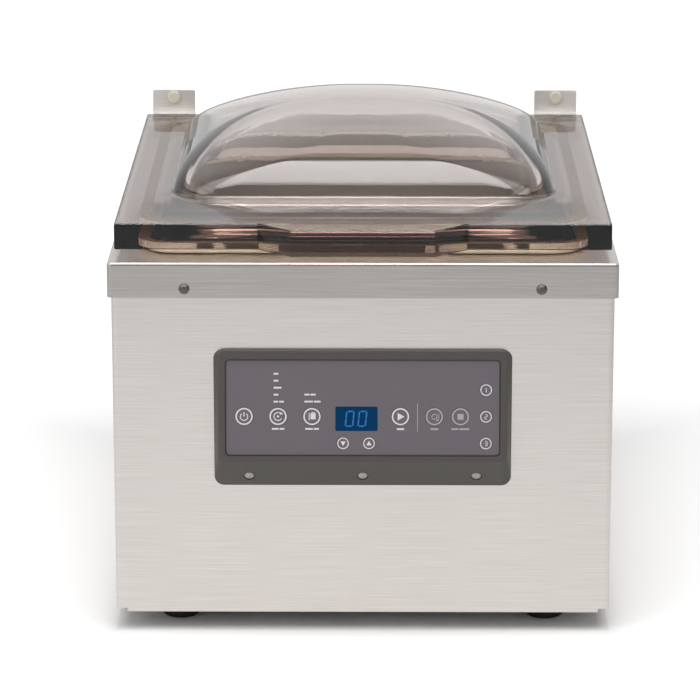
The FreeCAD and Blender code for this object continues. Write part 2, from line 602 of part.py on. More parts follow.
def make_console():
    """Sloping console: a moulded frame, the keypad plate in it, its window, and the screws in its chin."""
    frame = new_body("console_frame")
    base = new_sketch(frame, "XZ_Plane", (0, 0, -housing_front))
    rounded(base, dim("console_width"), dim("console_height"), dim("console_corner"), 0,
            dim("console_bottom") + dim("console_height") / 2)
    face = new_sketch(frame, "XZ_Plane", (0, face_middle_z, -face_middle_y), -face_tilt)
    rounded(face, dim("face_width"), face_length, dim("face_corner"))
    feature(frame, "AdditiveLoft", base, Sections=[face], Ruled=True)
    doc.recompute()
    bevel(frame, "Fillet", 1.2, lambda at, way: abs(face_distance(at)) < 0.01)
    recess = new_sketch(frame, "XZ_Plane", (0, face_middle_z, -face_middle_y), -face_tilt)
    rounded(recess, dim("overlay_width") + 0.4, dim("overlay_height") + 0.4, 3.2, 0, -dim("overlay_drop"))
    pocket(frame, recess, dim("face_recess") + dim("overlay_thick"))
    window = new_sketch(frame, "XZ_Plane", (0, face_middle_z, -face_middle_y), -face_tilt)
    rounded(window, dim("window_width"), dim("window_height"), 3, 0, -dim("overlay_drop"))
    pocket(frame, window, 40)
    seats = new_sketch(frame, "XZ_Plane", (0, chin_z, -chin_y), chin_tilt)
    for across in (-1, 0, 1):
        circle(seats, 4, chin_screw_x * across)
    pocket(frame, seats, 1.2)
    shanks = new_sketch(frame, "XZ_Plane", (0, chin_z, -chin_y), chin_tilt)
    for across in (-1, 0, 1):
        circle(shanks, 1.6, chin_screw_x * across)
    pocket(frame, shanks, 5.8)

    screws = new_body("console_screws")
    for across in (-1, 0, 1):
        turned(screws, [(0, 0.7), (2.2, 0.5), (3.4, -0.2), (3.7, -1.2), (1.5, -1.2), (1.5, -5), (0, -5)],
               "Z", chin_screw_x * across)
    place(screws, 0, chin_y, chin_z, 90 + chin_tilt)

    overlay = on_face(new_body("keypad_overlay"))
    plate = new_sketch(overlay, "XY_Plane", (0, 0, overlay_face))
    rounded(plate, dim("overlay_width"), dim("overlay_height"), 3, 0, -dim("overlay_drop"))
    pad(overlay, plate, dim("overlay_thick"), Reversed=True)
    holes = new_sketch(overlay, "XY_Plane", (0, 0, overlay_face))
    for across, up, radius in KEYS.values():
        circle(holes, radius, across, up)
    rounded(holes, dim("display_width"), dim("display_height"), 1, dim("display_across"), dim("display_up"))
    pocket(overlay, holes, 3)

    pane = on_face(new_body("display_window"))
    outline = new_sketch(pane, "XY_Plane", (0, 0, overlay_face))
    rounded(outline, dim("display_width") - 0.2, dim("display_height") - 0.2, 0.9,
            dim("display_across"), dim("display_up"))
    pad(pane, outline, dim("overlay_thick") - 0.1, Reversed=True)
    digits = on_face(new_body("display_module"))
    outline = new_sketch(digits, "XY_Plane", (0, 0, overlay_face - dim("overlay_thick")))
    rounded(outline, dim("display_width") + 4, dim("display_height") - 0.4, 1,
            dim("display_across"), dim("display_up"))
    pad(digits, outline, board_face, Reversed=True)

    board = on_face(new_body("control_board"))
    outline = new_sketch(board, "XY_Plane", (0, 0, overlay_face - dim("overlay_thick") - board_face))
    rounded(outline, dim("window_width") - 3, dim("window_height") - 3, 2, 0, -dim("overlay_drop"))
    pad(board, outline, 1.6, Reversed=True)
    domes = new_sketch(board, "XY_Plane", (0, 0, overlay_face - dim("overlay_thick") - board_face))
    for across, up, radius in KEYS.values():
        circle(domes, radius * 0.45, across, up)
    pad(board, domes, 0.8)


def make_keys():
    """Round keys flush in the keypad plate, each held from behind by its own flange."""
    for name, (across, up, radius) in KEYS.items():
        body = on_face(new_body(name))
        cap = new_sketch(body, "XY_Plane", (across, up, overlay_face + dim("key_proud")))
        circle(cap, radius - dim("key_gap"))
        pad(body, cap, dim("overlay_thick") + dim("key_proud") + 0.2, Reversed=True)
        flange = new_sketch(body, "XY_Plane", (across, up, overlay_face - dim("overlay_thick") - 0.1))
        circle(flange, radius + 0.9)
        pad(body, flange, 0.8, Reversed=True)
        bevel(body, "Chamfer", 0.15, lambda at, way: near(at.z, overlay_face + dim("key_proud")))


def make_hinges():
    """Rear hinges: a folded base on the deck, a pin, and the lid's bracket with its upright stop and bumper."""
    pins = new_body("hinge_pins")
    bumpers = new_body("stop_bumpers")
    for side, across in (("left", -1), ("right", 1)):
        centre = dim("bracket_across") * across
        make_hinge_base(f"hinge_base_{side}", centre)
        make_lid_bracket(f"lid_bracket_{side}", centre, across)
        make_spring(f"lid_spring_{side}", centre, across)
        pin, half = dim("pin_radius"), dim("bracket_width") / 2 + dim("hinge_cheek_gap") + dim("hinge_sheet")
        turned(pins, [(radius, along * across) for radius, along in (
            (0, half + 2), (pin + 1.5, half + 2), (pin + 1.5, half + 0.2), (pin, half + 0.2), (pin, -half - 1.6),
            (pin - 0.6, -half - 2.2), (0, -half - 2.2),
        )], "X", centre, hinge_y, hinge_z)
        head, stem = dim("bumper_radius"), 2.5
        tail = dim("bracket_sheet") + dim("bumper_tail")
        turned(bumpers, [
            (0, -dim("bumper_head")), (head - 1.2, -dim("bumper_head")), (head, 0.8 - dim("bumper_head")), (head, 0),
            (stem, 0), (stem, dim("bracket_sheet")), (head - 0.6, dim("bracket_sheet")), (head - 1, tail - 0.6),
            (head - 1.6, tail), (0, tail),
        ], "Y", centre, upright_front, lid_top + dim("bumper_rise"))


def make_hinge_base(label, centre):
    """Steel base folded up at the back into a stop shelf, with two cheeks that carry the pin."""
    body = new_body(label)
    sheet_t = dim("hinge_sheet")
    inner = dim("bracket_width") / 2 + dim("hinge_cheek_gap")
    front, back = lid_back + dim("hinge_plate_front"), lid_back + dim("hinge_plate_front") + dim("hinge_plate_depth")
    low, shelf = dim("deck_top"), dim("deck_top") + dim("stop_height")
    profile = new_sketch(body, "YZ_Plane", (0, 0, centre))
    polygon(profile, [
        (front, low), (back, low), (back, shelf), (back - dim("stop_depth"), shelf),
        (back - dim("stop_depth"), shelf - sheet_t), (back - sheet_t, shelf - sheet_t), (back - sheet_t, low + sheet_t),
        (front, low + sheet_t),
    ])
    pad(body, profile, (inner + sheet_t) * 2, Midplane=True)
    reach = dim("knuckle_radius") + 0.5
    for side in (-1, 1):
        cheek = new_sketch(body, "YZ_Plane", (0, 0, centre + (inner + sheet_t / 2) * side))
        polygon(cheek, [
            (hinge_y - reach, low), (hinge_y + reach, low), (hinge_y + reach, hinge_z + reach * 0.42),
            (hinge_y + reach * 0.42, hinge_z + reach), (hinge_y - reach * 0.42, hinge_z + reach),
            (hinge_y - reach, hinge_z + reach * 0.42),
        ])
        pad(body, cheek, sheet_t, Midplane=True)
    bore = new_sketch(body, "YZ_Plane", (0, 0, centre))
    circle(bore, dim("pin_radius"), hinge_y, hinge_z)
    pocket(body, bore, inner * 4, Midplane=True)


def make_lid_bracket(label, centre, across):
    """Bracket on the lid's back edge: a block, an upright stop plate above it and a knuckle round the pin."""
    body = new_body(label)
    step, plate = dim("bracket_step"), dim("bracket_sheet")
    under = hinge_z + dim("spring_radius") + dim("spring_wire") + 0.3
    profile = new_sketch(body, "YZ_Plane", (0, 0, centre))
    polygon(profile, [
        (lid_back, under), (upright_front + plate, under), (upright_front + plate, lid_top + dim("bracket_rise")),
        (upright_front, lid_top + dim("bracket_rise")), (upright_front, lid_top - 1), (lid_back, lid_top - 1),
    ])
    pad(body, profile, dim("bracket_width"), Midplane=True)
    hole = new_sketch(body, "XZ_Plane", (centre, lid_top + dim("bumper_rise"), -upright_front))
    circle(hole, 2.5)
    pocket(body, hole, plate * 2)
    bevel(body, "Fillet", 1.5, lambda at, way: abs(way.y) > 0.9 and near(at.z, lid_top + dim("bracket_rise")))
    knuckle_x = centre + (dim("bracket_width") - dim("knuckle_width")) / 2 * across
    knuckle = new_sketch(body, "YZ_Plane", (0, 0, knuckle_x))
    reach = dim("knuckle_radius")
    polygon(knuckle, [
        (hinge_y - reach * 0.42, hinge_z - reach), (hinge_y + reach * 0.42, hinge_z - reach),
        (hinge_y + reach, hinge_z - reach * 0.42), (hinge_y + reach, under), (lid_back, under),
        (lid_back, hinge_z - reach * 0.1), (hinge_y - reach, hinge_z - reach * 0.42),
    ])
    pad(body, knuckle, dim("knuckle_width"), Midplane=True)
    bore = new_sketch(body, "YZ_Plane", (0, 0, knuckle_x))
    circle(bore, dim("pin_radius") + dim("pin_clearance"), hinge_y, hinge_z)
    pocket(body, bore, dim("knuckle_width") * 1.2, Midplane=True)


def biarc(start, start_way, end, end_way):
    """Two arcs that join two points and keep the direction at each."""
    span, ways = end - start, start_way + end_way
    slack = 2 * (1 - start_way.dot(end_way))
    reach = (math.sqrt(span.dot(ways) ** 2 + slack * span.dot(span)) - span.dot(ways)) / slack
    first, second = start + start_way * reach, end - end_way * reach
    middle = (first + second) * 0.5
    arcs = []
    for low, corner, high in ((start, first, middle), (middle, second, end)):
        weight = (high - low).Length / 2 / (corner - low).Length
        arcs.append(Part.Arc(low, (low + corner * (2 * weight) + high) * (0.5 / (1 + weight)), high).toShape())
    return arcs


def make_spring(label, centre, across):
    """Torsion spring on the pin, inward of the knuckle: a close coil with one leg on the base, one under the lid."""
    radius, pitch, leg = (dim(name).value for name in ("spring_radius", "spring_pitch", "spring_leg"))
    wire, turns = dim("spring_wire").value, int(dim("spring_turns").value) + 0.5
    first_x = (pitch * turns + wire + 0.8 - dim("bracket_width").value / 2) * across
    axis = Vector(centre.value, hinge_y.value, hinge_z.value)
    slope = -across * pitch / (2 * math.pi)

    def on_coil(angle):
        at = axis + Vector(first_x + slope * angle, radius * math.sin(angle), -radius * math.cos(angle))
        way = Vector(slope, radius * math.cos(angle), radius * math.sin(angle))
        return at, way.normalize()

    quarters = [on_coil(step * math.pi / 2) for step in range(int(turns * 4) + 1)]
    (low, low_way), (high, high_way) = quarters[0], quarters[-1]
    edges = [Part.LineSegment(low - low_way * leg, low).toShape()]
    for (start, start_way), (end, end_way) in zip(quarters, quarters[1:]):
        edges += biarc(start, start_way, end, end_way)
    edges.append(Part.LineSegment(high, high + high_way * leg).toShape())
    path = Part.Wire(edges)
    section = Part.Wire([Part.Circle(low - low_way * leg, low_way, wire).toShape()])
    node = doc.addObject("Part::Feature", label)
    node.Label = label
    node.Shape = path.makePipeShell([section], True, False)
    node.Placement = Placement()
    points = path.discretize(Distance=wire)
    near_turn = int(2 * math.pi * radius / wire / 2)
    gap = min((p - q).Length for i, p in enumerate(points) for q in points[i + near_turn:]) - 2 * wire
    print(f"{label}: least gap between turns {gap:.2f} mm")


def make_pump():
    """Twin-head dry piston pump: motor between two crankcases, each with a finned cylinder and a head."""
    motor_radius, motor_length = size(46), size(120)
    motor = new_body("pump_motor")
    half = motor_length / 2
    turned(motor, [
        (0, -half), (motor_radius - 6, -half), (motor_radius, -half + 6), (motor_radius, half - 6),
        (motor_radius - 6, half), (0, half),
    ], "X", pump_x, pump_y, pump_z)
    feet = new_sketch(motor, "XY_Plane", (pump_x, pump_y, floor_top + 12))
    rounded(feet, motor_length - 16, 84, 3)
    pad(motor, feet, 8)
    heads = new_body("pump_heads")
    cases = new_body("pump_crankcases")
    for side in (-1, 1):
        at = pump_x + (half + 19) * side
        case = new_sketch(cases, "YZ_Plane", (pump_y, pump_z, at))
        rounded(case, 64, 64, 12, 0, -4)
        pad(cases, case, 38, Midplane=True)
        for step in range(4):
            low = pump_z + 28 + step * 5
            turned(cases, [(0, low), (18.5, low), (18.5, low + 2.5), (16, low + 2.5), (16, low + 5), (0, low + 5)],
                   "Z", at, pump_y)
        cap = new_sketch(heads, "XY_Plane", (at, pump_y, pump_z + 48))
        rounded(cap, 37, 46, 6)
        pad(heads, cap, 10)
    mounts = new_body("pump_mounts")
    for side in (-1, 1):
        for end in (-1, 1):
            turned(mounts, [(0, floor_top), (9, floor_top), (7, floor_top + 6), (9, floor_top + 12), (0, floor_top + 12)],
                   "Z", pump_x + 40 * side, pump_y + 34 * end)


def make_fan():
    """Axial fan behind the grille: a square frame and a bladed rotor on a hub."""
    depth = size(25)
    front = housing_back - depth - 0.2
    frame = new_body("fan_frame")
    outline = new_sketch(frame, "XZ_Plane", (fan_x, fan_z, -housing_back + 0.2))
    rounded(outline, fan_size, fan_size, 4)
    circle(outline, fan_size * 0.475)
    pad(frame, outline, depth)
    for angle in (0, 90):
        strut = new_sketch(frame, "XZ_Plane", (fan_x, fan_z, -front))
        if angle:
            rounded(strut, 4, fan_size * 0.97, 0.5)
        else:
            rounded(strut, fan_size * 0.97, 4, 0.5)
        pad(frame, strut, 3, Reversed=True)
    rotor = new_body("fan_rotor")
    turned(rotor, [(0, 4), (16, 4), (16, 20), (14.5, 21.5), (0, 21.5)], "Y", fan_x, front, fan_z)
    blade = new_sketch(rotor, "XY_Plane", (fan_x, front, fan_z))
    reach = fan_size * 0.45
    polygon(blade, [(-3, 5.5), (-1, 5.5), (8, 20), (6, 20)])
    spoke = pad(rotor, blade, reach)
    around = new_sketch(rotor, "XZ_Plane", (fan_x, fan_z, -front))
    circle(around, 1)
    ring(rotor, spoke, around, 7)
    around.Visibility = False


def make_electrics():
    """What lies under the tub: sealing transformer, valve block with solenoids, and the mains inlet."""
    core = new_body("transformer_core")
    outline = new_sketch(core, "YZ_Plane", (trafo_y, floor_top, trafo_x))
    rounded(outline, 72, 60, 1, 0, 30)
    for side in (-1, 1):
        rounded(outline, 12, 36, 1, 18 * side, 30)
    pad(core, outline, 34, Midplane=True)
    coil = new_body("transformer_coil")
    outline = new_sketch(coil, "XY_Plane", (trafo_x, trafo_y, floor_top + 12.5))
    rounded(outline, 58, 47, 6)
    rounded(outline, 34.4, 24.4, 0.5)
    pad(coil, outline, 35)

    block = new_body("valve_block")
    outline = new_sketch(block, "XY_Plane", (valve_x, valve_y, floor_top + 42))
    rounded(outline, 104, 34, 4)
    pad(block, outline, 26)
    bracket = new_sketch(block, "YZ_Plane", (valve_y, floor_top, valve_x))
    polygon(bracket, [(-17, 0), (17, 0), (17, 2), (-15, 2), (-15, 42), (-17, 42)])
    pad(block, bracket, 60, Midplane=True)
    coils = new_body("valve_coils")
    for step in (-1, 0, 1):
        turned(coils, [(0, 68), (13, 68), (13, 94), (10, 96), (4, 96), (4, 99), (0, 99)],
               "Z", valve_x + 34 * step, valve_y, floor_top)

    inlet = new_body("power_inlet")
    outline = new_sketch(inlet, "XZ_Plane", (inlet_x, inlet_z, -rear_face))
    rounded(outline, inlet_width + 4, inlet_height + 4, 3)
    pad(inlet, outline, 2, Reversed=True)
    shell = new_sketch(inlet, "XZ_Plane", (inlet_x, inlet_z, -rear_face))
    rounded(shell, inlet_width - 4.4, inlet_height - 4.4, 2)
    pad(inlet, shell, 24)
    well = new_sketch(inlet, "XZ_Plane", (inlet_x, inlet_z, -rear_face - 2))
    polygon(well, [(-12.5, -8.5), (12.5, -8.5), (12.5, 5), (9, 8.5), (-9, 8.5), (-12.5, 5)])
    pocket(inlet, well, 17, Reversed=True)
    pins = new_body("inlet_pins")
    for across, up in ((-7, -2), (7, -2), (0, 2.5)):
        pin = new_sketch(pins, "XZ_Plane", (inlet_x + across, inlet_z + up, -rear_face - 2 + 17))
        rounded(pin, 2, 4, 0.4)
        pad(pins, pin, 14, Reversed=True)


def make_hose():
    """Reinforced vacuum hose from a pump head to the valve block."""
    tube = 6.5
    outlet = Vector((pump_x + 79 + 18.5).value, pump_y.value, (pump_z + 53).value)
    port = Vector((valve_x + 42).value, (valve_y - 17).value, (floor_top + 55).value)
    points = [outlet, Vector(port.x, outlet.y, outlet.z), Vector(port.x, outlet.y, port.z), port]
    edges, last = [], points[0]
    for before, corner, after in zip(points, points[1:], points[2:]):
        one, two = (before - corner), (after - corner)
        reach = 0.45 * min(one.Length, two.Length)
        enter, leave = corner + one.normalize() * reach, corner + two.normalize() * reach
        half_turn = (math.pi - one.getAngle(two)) / 2
        radius = reach / math.tan(half_turn)
        inward = (one + two).normalize()
        top = corner + inward * (radius / math.cos(half_turn) - radius)
        edges += [Part.LineSegment(last, enter).toShape(), Part.Arc(enter, top, leave).toShape()]
        last = leave
    edges.append(Part.LineSegment(last, points[-1]).toShape())
    path = Part.Wire(edges)
    section = Part.Wire([Part.Circle(points[0], points[1] - points[0], tube).toShape()])
    node = doc.addObject("Part::Feature", "vacuum_hose")
    node.Shape = path.makePipeShell([section], True, False)
    node.Placement = Placement()


def make_rear_screws():
    """Pan-head screws along both edges of the back panel."""
    body = new_body("rear_panel_screws")
    for side in (-1, 1):
        for height in (40, 142, 240):
            turned(body, [
                (0, 2), (1.8, 1.9), (3.2, 1), (3.5, 0), (0, 0),
            ], "Y", (half_body - 8) * side, rear_face, height)


# Places of the console, keys and inner pieces
face_length_rise = dim("console_height") - dim("console_chin")
face_lean = dim("console_proud") - dim("console_top_proud")
face_tilt = math.degrees(math.atan2(face_lean.value, face_length_rise.value))
face_length = face_length_rise / math.cos(math.radians(face_tilt))
face_middle_z = dim("console_bottom") + dim("console_chin") + face_length_rise / 2
face_middle_y = housing_front - (dim("console_proud") + dim("console_top_proud")) / 2
overlay_face = -dim("face_recess")
board_face = size(2.4)
chin_tilt = math.degrees(math.atan2(dim("console_proud").value, dim("console_chin").value))
chin_z = dim("console_bottom") + dim("console_chin") * 0.38
chin_y = housing_front - dim("console_proud") * 0.38
chin_screw_x = size(81)
deck_screw_x = size(126)
deck_screw_z = dim("deck_top") - dim("skirt_height") + 6.5
dome_middle = lid_front + dim("dome_front") + dim("dome_depth") / 2
gasket_middle = lid_front + dim("lid_depth") / 2
bar_y = lid_front + dim("bar_setback")
bar_top = lid_bottom - dim("pad_channel_height") - dim("pad_proud") - dim("bar_gap")
neck_radius = dim("rod_radius") + 3
port_radius, port_y = size(11), chamber_middle + dim("chamber_depth") * 0.36
upright_front = lid_back + dim("bracket_step")
fan_size, fan_x, fan_z = size(80), size(-100), size(78)
inlet_width, inlet_height, inlet_x, inlet_z = size(32), size(25), size(110), size(60)
pump_x, pump_y, pump_z = size(-20), size(60), size(80)
trafo_x, trafo_y = size(110), size(-60)
valve_x, valve_y = size(70), size(150)

large, small, line = dim("key_radius"), dim("small_key_radius"), dim("key_row")
KEYS = {
    "key_power": (-84.2, line, large), "key_vacuum": (-60.1, line, large), "key_function": (-36, line, large),
    "key_down": (-13.9, line - 19.2, small), "key_up": (4.5, line - 19.2, small), "key_start": (26.8, line, large),
    "key_seal": (50.9, line, large), "key_stop": (69.4, line, large), "key_program_1": (87.5, line + 19.2, small),
    "key_program_2": (87.5, line, small), "key_program_3": (87.5, line - 19.2, small),
}


def on_face(body):
    """Lay a body on the console's sloping face: X across, Y up the slope, Z out of it."""
    place(body, 0, face_middle_y, face_middle_z, 90 - face_tilt)
    return body


def face_distance(point):
    """How far a point stands out of the console's face."""
    lean = math.radians(face_tilt)
    return (face_middle_y.value - point.y) * math.cos(lean) + (point.z - face_middle_z.value) * math.sin(lean)


for make in (make_housing_wrap, make_rear_panel, make_base_plate, make_feet, make_foot_screws, make_top_deck,
             make_deck_screws, make_chamber_tub, make_port_grille, make_lid, make_lid_gasket, make_seal_pad,
             make_seal_bar, make_lift_rods, make_lift_cylinders, make_console, make_keys, make_hinges, make_pump,
             make_fan, make_electrics, make_hose, make_rear_screws):
    make()
doc.recompute()

# Every object has to be sound before anything is written
for thing in doc.Objects:
    if {"Invalid", "Error"} & set(thing.State):
        raise ValueError(f"{thing.Label} failed: {thing.State}")
nodes = [thing for thing in doc.Objects if thing.TypeId in ("PartDesign::Body", "Part::Feature")]
for node in nodes:
    if node.Shape.isNull() or not node.Shape.isValid():
        raise ValueError(f"{node.Label} has no sound shape")
os.makedirs("parts", exist_ok=True)
for node in nodes:
    node.Shape.exportStep(f"parts/{node.Label}.step")
print(len(nodes), "nodes")
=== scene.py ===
import math

import bpy
from mathutils import Euler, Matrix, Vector


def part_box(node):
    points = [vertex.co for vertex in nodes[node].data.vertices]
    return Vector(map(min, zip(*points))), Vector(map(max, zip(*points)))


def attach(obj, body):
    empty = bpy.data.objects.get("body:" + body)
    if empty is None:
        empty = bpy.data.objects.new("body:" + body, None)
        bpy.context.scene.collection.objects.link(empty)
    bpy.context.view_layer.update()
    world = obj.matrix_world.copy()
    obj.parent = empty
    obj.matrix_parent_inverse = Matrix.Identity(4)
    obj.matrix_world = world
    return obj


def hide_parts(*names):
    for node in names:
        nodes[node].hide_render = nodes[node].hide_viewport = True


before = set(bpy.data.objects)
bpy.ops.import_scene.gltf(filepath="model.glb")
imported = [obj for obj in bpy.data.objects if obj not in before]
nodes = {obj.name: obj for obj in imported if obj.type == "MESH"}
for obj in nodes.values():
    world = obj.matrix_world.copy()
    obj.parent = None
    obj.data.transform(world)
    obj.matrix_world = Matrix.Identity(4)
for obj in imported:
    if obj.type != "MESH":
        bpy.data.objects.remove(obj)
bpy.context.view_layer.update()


# Stage
# A white studio: a sweep of white paper that keeps the contact shadow, a pale room and two soft lights. The
# camera has a long lens and looks slightly down on the machine, as in the photograph.
def linear(code):
    """A colour written as an sRGB hex code, in linear light."""
    parts = [int(code[i:i + 2], 16) / 255 for i in (1, 3, 5)]
    return tuple(c / 12.92 if c <= 0.04045 else ((c + 0.055) / 1.055) ** 2.4 for c in parts) + (1.0,)


def add(tree, kind, settings=None, values=None, links=None):
    """A shader node with its settings, its socket values and its incoming links."""
    made = tree.nodes.new(kind)
    for name, setting in (settings or {}).items():
        setattr(made, name, setting)
    sockets = {key: socket for socket in reversed(made.inputs) for key in (socket.name, socket.identifier)}
    for key, value in (values or {}).items():
        sockets[key].default_value = value
    for key, (source, output) in (links or {}).items():
        tree.links.new(source.outputs[output], made.inputs[key] if isinstance(key, int) else sockets[key])
    return made


def new_object(name, verts, faces, smooth=False):
    """A mesh object in the scene; smooth keeps creases over 30 degrees."""
    mesh = bpy.data.meshes.new(name)
    mesh.from_pydata([tuple(v) for v in verts], [], faces)
    mesh.update()
    made = bpy.data.objects.new(name, mesh)
    bpy.context.scene.collection.objects.link(made)
    if smooth:
        mesh.shade_smooth()
        mesh.set_sharp_from_angle(angle=math.radians(30))
    return made


def softbox(name, place, turn, width, depth, power, shape="RECTANGLE"):
    """An area light that shines straight down until it is turned, in degrees about X, Y and Z."""
    light = bpy.data.lights.new(name, "AREA")
    light.shape = shape
    light.size, light.size_y = width, depth
    light.energy = power
    lamp = bpy.data.objects.new(name, light)
    lamp.location = place
    lamp.rotation_euler = Euler([math.radians(a) for a in turn])
    scene.collection.objects.link(lamp)
    return lamp


scene = bpy.context.scene
scene.view_settings.view_transform = "Standard"

CAMERA_PLACE, LOOKING_DOWN, LOOKING_LEFT = (0.0079, -2.6404, 0.8779), 15.37, 0.40
camera_data = bpy.data.cameras.new("camera")
camera_data.lens = 182.85
camera_data.sensor_width = 36
camera_data.clip_end = 30
camera = bpy.data.objects.new("camera", camera_data)
camera.location = CAMERA_PLACE
camera.rotation_euler = (math.radians(90 - LOOKING_DOWN), 0, math.radians(LOOKING_LEFT))
scene.collection.objects.link(camera)
scene.camera = camera

# The lens sees a white room. Metal and acrylic mirror a wall that is pale behind the machine and dim behind
# the camera, and all other light from the room is even.
ROOM_SEEN, ROOM_LIGHT = 1.0, 0.32
DIM_WALL, PALE_WALL, WALL_BLEND = 0.15, 0.95, 0.4
world = bpy.data.worlds.new("studio")
scene.world = world
world.use_nodes = True
room = world.node_tree
room.nodes.clear()
ray = add(room, "ShaderNodeLightPath")
direct = add(room, "ShaderNodeMapRange", values={"To Min": ROOM_LIGHT, "To Max": ROOM_SEEN},
             links={"Value": (ray, "Is Camera Ray")})
heading = add(room, "ShaderNodeSeparateXYZ", links={0: (add(room, "ShaderNodeTexCoord"), "Generated")})
walls = add(room, "ShaderNodeMapRange",
            values={"From Min": -WALL_BLEND, "From Max": WALL_BLEND, "To Min": DIM_WALL, "To Max": PALE_WALL},
            links={"Value": (heading, "Y")})
mirrored = add(room, "ShaderNodeMath", {"operation": "MULTIPLY"},
               links={0: (walls, 0), 1: (ray, "Is Glossy Ray")})
level = add(room, "ShaderNodeMath", {"operation": "MAXIMUM"}, links={0: (direct, 0), 1: (mirrored, 0)})
sky = add(room, "ShaderNodeBackground", values={"Color": linear("#FFFFFF")}, links={"Strength": (level, 0)})
add(room, "ShaderNodeOutputWorld", links={"Surface": (sky, 0)})

softbox("softbox_top", (0.0, -0.62, 1.4), (0, 0, 0), 2.0, 1.2, 19.0)
softbox("softbox_left", (-2.0, -1.6, 1.3), (60, 0, -52), 1.2, 1.6, 10.0)

# Matt white paper has no gloss to speak of and reads as plain white. It glows for the lens alone, not at all
# under the cabinet and more the farther it lies from it, in metres, so that the shadow stays by the machine.
GLOW, GLOW_RISE = 0.75, 0.35
cabinet_low, cabinet_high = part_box("housing_wrap")
floor = new_object("floor", [(-6, -6, 0), (6, -6, 0), (6, 9, 0), (-6, 9, 0)], [(0, 1, 2, 3)])
floor.location.xy = ((cabinet_low + cabinet_high) / 2).xy
floor_paper = bpy.data.materials.new("white_paper_sweep")
floor_paper.use_nodes = True
sweep = floor_paper.node_tree
paper = sweep.nodes["Principled BSDF"]
paper.inputs["Base Color"].default_value = linear("#F7F7F7")
paper.inputs["Roughness"].default_value = 0.6
paper.inputs["Specular IOR Level"].default_value = 0.2
paper.inputs["Emission Color"].default_value = linear("#FFFFFF")
lens_ray = add(sweep, "ShaderNodeLightPath")
spot = add(sweep, "ShaderNodeTexCoord")
aside = add(sweep, "ShaderNodeVectorMath", {"operation": "ABSOLUTE"}, links={0: (spot, "Object")})
beyond = add(sweep, "ShaderNodeVectorMath", {"operation": "SUBTRACT"},
             values={"Vector_001": (cabinet_high - cabinet_low) / 2}, links={0: (aside, 0)})
split = add(sweep, "ShaderNodeSeparateXYZ", links={0: (beyond, 0)})
far = add(sweep, "ShaderNodeMath", {"operation": "MAXIMUM", "use_clamp": True},
          links={0: (split, 0), 1: (split, 1)})
rise = add(sweep, "ShaderNodeMath", {"operation": "POWER"}, values={"Value_001": GLOW_RISE},
           links={0: (far, 0)})
seen = add(sweep, "ShaderNodeMapRange", values={"To Max": GLOW}, links={"Value": (lens_ray, "Is Camera Ray")})
glow = add(sweep, "ShaderNodeMath", {"operation": "MULTIPLY"}, links={0: (rise, 0), 1: (seen, 0)})
sweep.links.new(glow.outputs[0], paper.inputs["Emission Strength"])
floor.data.materials.append(floor_paper)


# Cabinet
# Front and sides are one bent sheet of stainless steel, ground with a belt so that the grain runs level; the
# skirted deck is pressed from the same sheet. Back, floor plate and drawn chamber are plainer sheet.
def finish(name, colours, roughness, grain_mm, metallic=0.0, detail=2.0, bump_mm=0.0, **values):
    """A material whose tone and gloss drift between two ends over a grain, of one size or one for each axis.

    A pixel of the render is about 0.7 mm, so a finer real grain is drawn coarser, at a size that shows.
    """
    made = bpy.data.materials.new(name)
    made.use_nodes = True
    tree = made.node_tree
    skin = tree.nodes["Principled BSDF"]
    skin.inputs["Metallic"].default_value = metallic
    for socket, value in values.items():
        skin.inputs[socket.replace("_", " ")].default_value = value
    cells = grain_mm if isinstance(grain_mm, tuple) else (grain_mm,) * 3
    where = add(tree, "ShaderNodeTexCoord")
    scaled = add(tree, "ShaderNodeMapping", values={"Scale": [1000 / c for c in cells]},
                 links={"Vector": (where, "Object")})
    noise = add(tree, "ShaderNodeTexNoise", values={"Scale": 1.0, "Detail": detail, "Roughness": 0.6},
                links={"Vector": (scaled, 0)})
    tone = add(tree, "ShaderNodeMix", {"data_type": "RGBA"},
               {"A_Color": linear(colours[0]), "B_Color": linear(colours[1])}, {"Factor_Float": (noise, 0)})
    mixed = next(o for o in tone.outputs if o.identifier == "Result_Color")
    tree.links.new(mixed, skin.inputs["Base Color"])
    sheen = add(tree, "ShaderNodeMapRange", values={"To Min": roughness[0], "To Max": roughness[1]},
                links={"Value": (noise, 0)})
    tree.links.new(sheen.outputs[0], skin.inputs["Roughness"])
    if bump_mm:
        relief = add(tree, "ShaderNodeBump", values={"Strength": 1.0, "Distance": bump_mm / 1000},
                     links={"Height": (noise, 0)})
        tree.links.new(relief.outputs[0], skin.inputs["Normal"])
    return made


def coat(material, *names):
    """Give CAD nodes one material."""
    for name in names:
        nodes[name].data.materials.clear()
        nodes[name].data.materials.append(material)


# Belt-ground stainless shows long level hairlines and a soft, streaked gloss. The scratches are about 0.1 mm
# wide in steel and are drawn at 0.6 mm to show.
coat(finish("stainless_belt_ground", ("#CCC7C2", "#F8F2ED"), (0.30, 0.42), grain_mm=(70, 70, 0.6),
            metallic=1.0, detail=3.0), "housing_wrap")
# The deck has the same grind, with hairlines along it on its top and its skirt alike. Its tone is darker than
# the cabinet's: painted shade for the dimmer look of its skirt.
coat(finish("stainless_belt_ground_deck_painted_shade", ("#9C9793", "#DED9D5"), (0.26, 0.38), grain_mm=(70, 1.1, 0.6),
            metallic=1.0, detail=3.0), "top_deck")
# Mill-finished stainless is a dull, even grey with faint upright rolling lines.
coat(finish("stainless_mill", ("#B4B2AE", "#C6C4C0"), (0.34, 0.46), grain_mm=(2.5, 2.5, 25), metallic=1.0),
     "rear_panel")
# Zinc-coated sheet is a cool grey with cloudy flecks of zinc, some millimetres across.
coat(finish("zinc_sheet", ("#8F9294", "#A9ACAE"), (0.45, 0.6), grain_mm=8, metallic=0.8, detail=3.0),
     "base_plate")
